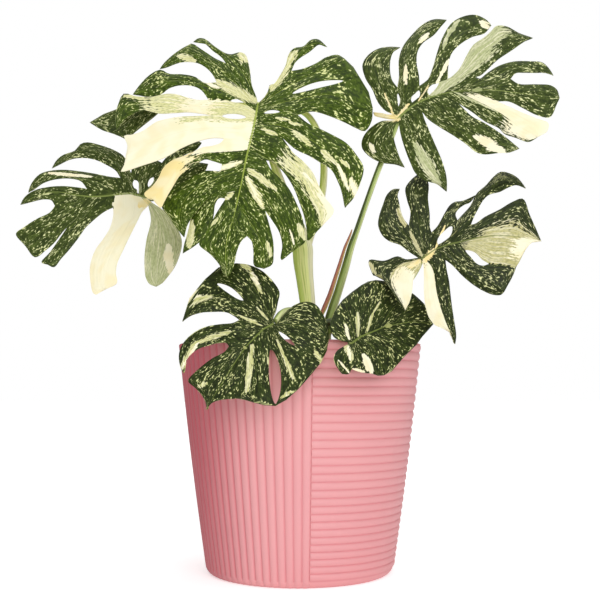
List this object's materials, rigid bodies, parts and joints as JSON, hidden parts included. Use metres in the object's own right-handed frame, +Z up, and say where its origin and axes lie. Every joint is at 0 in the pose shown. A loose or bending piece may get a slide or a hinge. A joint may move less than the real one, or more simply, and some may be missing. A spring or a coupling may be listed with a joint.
{
  "type": "potted monstera plant",
  "caption": "House plant with split, holed leaves marbled green and cream on long stalks, growing from soil in a tapered pot with upright flutes on one half and rings on the other.",
  "frame": {"origin": "centre of the pot's flat base, on the ground", "axes": "+Z up along the pot's axis, -Y towards the viewer that the large leaf faces, +X to that viewer's right, on the ringed side of the pot"},
  "size_m": [0.5261, 0.2582, 0.5481],
  "materials": {
    "pot": "satin pink",
    "soil": "crumbly dark potting mix",
    "stem": "rough green-brown bark",
    "sheath": "dry papery brown",
    "petiole": "smooth waxy pale green",
    "leaf": "satin green marbled and speckled with cream"
  },
  "bodies": {
    "root": {"pot": "pot", "soil": "soil", "stem": "stem", "sheath_B": "sheath", "petiole_A": "petiole", "petiole_B": "petiole", "petiole_C": "petiole", "petiole_D": "petiole", "petiole_E": "petiole", "petiole_F": "petiole", "petiole_G": "petiole", "leaf_A": "leaf", "leaf_B": "leaf", "leaf_C": "leaf", "leaf_D": "leaf", "leaf_E": "leaf", "leaf_F": "leaf", "leaf_G": "leaf"}
  },
  "joints": []
}
